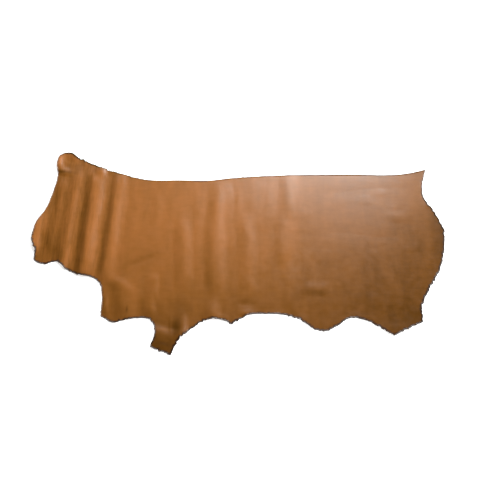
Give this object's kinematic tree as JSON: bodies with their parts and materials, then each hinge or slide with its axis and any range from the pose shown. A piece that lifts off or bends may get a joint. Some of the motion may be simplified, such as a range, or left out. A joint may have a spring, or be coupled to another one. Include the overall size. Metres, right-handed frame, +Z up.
{
  "type": "leather hide",
  "caption": "Side of tanned cattle leather, half a hide cut along the backbone, lying grain side up with a wrinkled neck, low folds, shank tabs and a trimmed edge.",
  "frame": {"origin": "centre of the hide's footprint, on the surface it lies on", "axes": "+X from the neck to the butt along the backbone, +Y from the belly edge to the backbone edge, +Z up, out of the grain side"},
  "size_m": [2.424, 1.2866, 0.0178],
  "materials": {
    "grain_leather": "russet tan full grain cowhide, waxed semi-matt grain side, napped flesh side, dark cut edge"
  },
  "bodies": {
    "root": {"hide": "grain_leather"}
  },
  "joints": []
}
